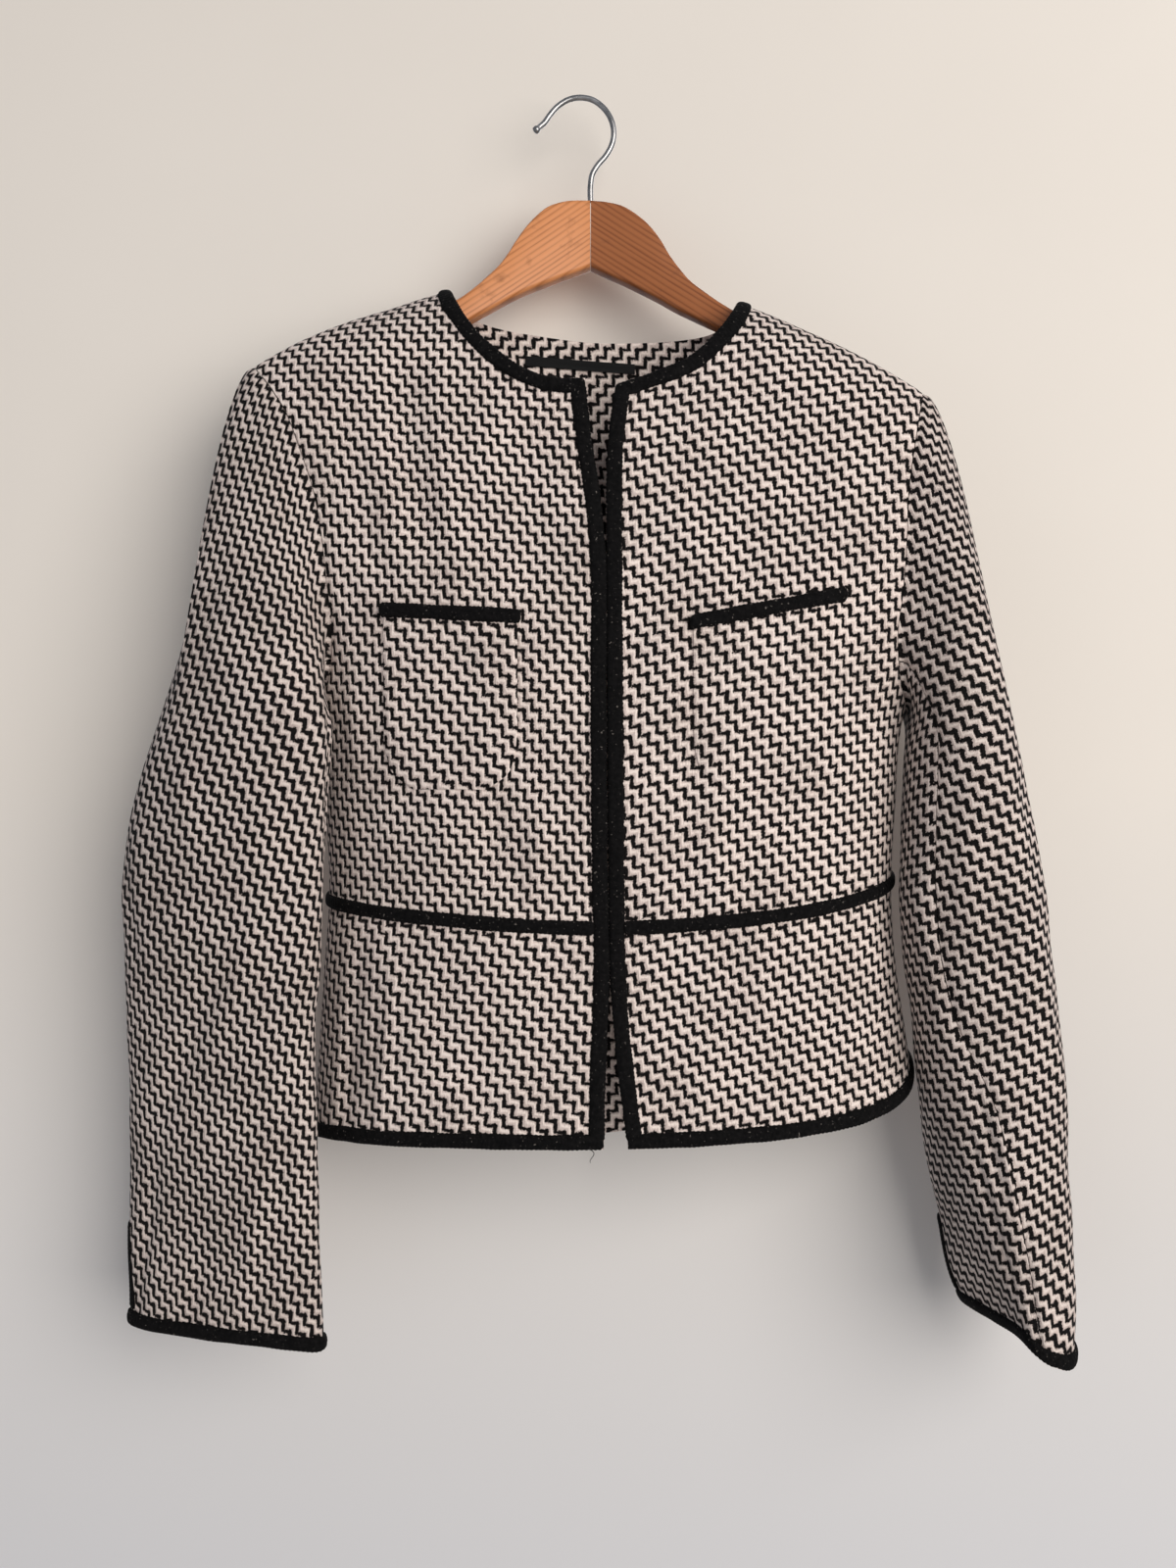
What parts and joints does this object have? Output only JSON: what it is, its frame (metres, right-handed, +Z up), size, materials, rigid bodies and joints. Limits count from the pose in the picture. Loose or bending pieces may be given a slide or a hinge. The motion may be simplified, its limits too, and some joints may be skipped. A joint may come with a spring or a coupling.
{
  "type": "cropped tweed jacket on hanger",
  "caption": "Cropped collarless tweed jacket with black braid edging and patch pockets, hanging open on a shaped wooden hanger with a wire hook.",
  "frame": {"origin": "inside of the top of the hook, where it rests on its peg", "axes": "+Z up, -Y out of the jacket's front, +X towards the wearer's left side"},
  "size_m": [0.5384, 0.1001, 0.7311],
  "materials": {
    "tweed": "cream and black wool tweed, matt",
    "black_braid": "knitted braid, matt",
    "label_tape": "woven tape, low sheen",
    "wood_pale": "satin varnish",
    "wood_dark": "satin varnish",
    "hook_steel": "bright plated wire"
  },
  "bodies": {
    "root": {"front_right": "tweed", "front_left": "tweed", "back": "tweed", "peplum_front_right": "tweed", "peplum_front_left": "tweed", "peplum_back": "tweed", "sleeve_top_right": "tweed", "sleeve_top_left": "tweed", "sleeve_under_right": "tweed", "sleeve_under_left": "tweed", "pocket_right": "tweed", "pocket_left": "tweed", "braid_neck": "black_braid", "braid_front_right": "black_braid", "braid_front_left": "black_braid", "braid_waist": "black_braid", "braid_hem": "black_braid", "braid_pocket_right": "black_braid", "braid_pocket_left": "black_braid", "braid_cuff_right": "black_braid", "braid_cuff_left": "black_braid", "braid_vent_top_right": "black_braid", "braid_vent_under_right": "black_braid", "braid_vent_top_left": "black_braid", "braid_vent_under_left": "black_braid", "neck_label": "label_tape", "hanger_arm_right": "wood_pale", "hanger_arm_left": "wood_dark", "hook_wire": "hook_steel", "hook_tip": "hook_steel"}
  },
  "joints": []
}
